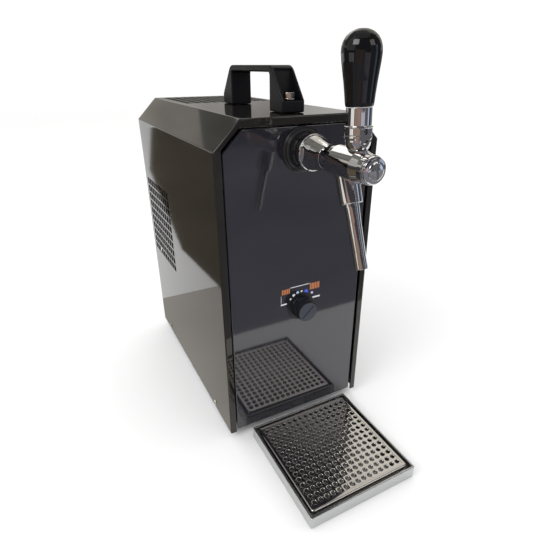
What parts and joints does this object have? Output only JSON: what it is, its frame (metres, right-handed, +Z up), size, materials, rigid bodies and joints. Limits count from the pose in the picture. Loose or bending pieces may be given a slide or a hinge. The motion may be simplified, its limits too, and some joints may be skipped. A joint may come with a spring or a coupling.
{
  "type": "countertop beer cooler",
  "caption": "countertop beer cooler: chamfered black steel casing on feet with carry handle, thermostat knob, chrome lever tap with slanted spout, vents and loose drip tray",
  "frame": {"origin": "on the worktop, at the middle of the footprint of the whole object, drip tray and rear fitting included", "axes": "+Z up, the tap and drip tray point towards -Y, +X is the right-hand side seen from the front"},
  "size_m": [0.204, 0.5174, 0.4741],
  "materials": {
    "powder_coat": "glossy black powder coat",
    "front_gloss": "smooth high-gloss black",
    "handle_plastic": "satin black moulding",
    "black_plastic": "satin black",
    "knob_black": "polished black",
    "scale_print": "black plate with printed dots and blocks",
    "compressor_paint": "semi-gloss black",
    "rubber": "matt black",
    "foam": "rigid insulating foam",
    "hose": "milky beer hose",
    "chrome": "mirror-polished",
    "stainless": "satin stainless",
    "mirror_steel": "bright-polished stainless",
    "zinc": "zinc-plated",
    "aluminium": "bare",
    "copper": "bright copper tube"
  },
  "bodies": {
    "casing": {"cover": "powder_coat", "front_panel": "front_gloss", "rear_panel": "powder_coat", "base_pan": "zinc", "foot_front_left": "rubber", "foot_front_right": "rubber", "foot_rear_left": "rubber", "foot_rear_right": "rubber", "cover_screw_front_left": "zinc", "cover_screw_front_right": "zinc", "cover_screw_rear_left": "zinc", "cover_screw_rear_right": "zinc", "carry_handle": "handle_plastic", "handle_bolt_front": "chrome", "handle_bolt_rear": "chrome", "thermostat_scale": "scale_print", "tap_escutcheon": "black_plastic", "tap_ring_nut": "black_plastic", "tap_shank": "chrome", "tap_collar": "chrome", "tap_body": "chrome", "tap_end_cap": "chrome", "spout_nozzle": "chrome", "spout_tube": "chrome", "beer_inlet_fitting": "black_plastic", "mains_inlet": "black_plastic", "switch_bezel": "black_plastic", "insulation_case": "foam", "insulation_lid": "foam", "cooling_block": "aluminium", "beer_line_in": "hose", "beer_line_out": "hose", "compressor": "compressor_paint", "compressor_mount_front_left": "rubber", "compressor_mount_front_right": "rubber", "compressor_mount_rear_left": "rubber", "compressor_mount_rear_right": "rubber", "condenser": "aluminium", "fan_frame": "black_plastic", "fan_motor": "black_plastic", "filter_drier": "copper", "condenser_line": "copper", "discharge_line": "copper", "capillary_line": "copper", "thermostat_body": "zinc", "tap_back_nut": "zinc"},
    "lever": {"tap_lever": "chrome", "lever_set_screw": "zinc", "tap_knob": "knob_black"},
    "piston": {"valve_piston": "stainless"},
    "thermostat_dial": {"thermostat_knob": "black_plastic"},
    "rocker": {"switch_rocker": "knob_black"},
    "rotor": {"fan_rotor": "black_plastic"},
    "tray": {"drip_tray": "stainless"},
    "grille": {"drip_grille": "mirror_steel"}
  },
  "joints": [
    {"name": "lever_pivot", "type": "hinge", "parent": "casing", "child": "lever", "pos_m": [0, -0.19475, 0.3888], "axis": [1, 0, 0], "range_deg": [-8, 30]},
    {"name": "piston_slide", "type": "slide", "parent": "casing", "child": "piston", "axis": [0, 1, 0], "range_m": [-0.0035, 0.0127]},
    {"name": "thermostat_turn", "type": "hinge", "parent": "casing", "child": "thermostat_dial", "pos_m": [0.003, -0.10725, 0.177], "axis": [0, 1, 0], "range_deg": [-100, 0]},
    {"name": "rocker_tilt", "type": "hinge", "parent": "casing", "child": "rocker", "pos_m": [0.012, 0.23075, 0.046], "axis": [0, 0, 1], "range_deg": [-14, 0]},
    {"name": "fan_spin", "type": "hinge", "parent": "casing", "child": "rotor", "pos_m": [-0.06, 0.15975, 0.224], "axis": [1, 0, 0], "continuous": true},
    {"name": "tray_pull", "type": "slide", "parent": "casing", "child": "tray", "axis": [0, -1, 0], "range_m": [0, 0.15]},
    {"name": "grille_lift", "type": "slide", "parent": "tray", "child": "grille", "axis": [0, 0, 1], "range_m": [0, 0.04]}
  ],
  "couplings": [
    {"joint": "piston_slide", "follows": "lever_pivot", "m_per_rad": 0.02406}
  ]
}
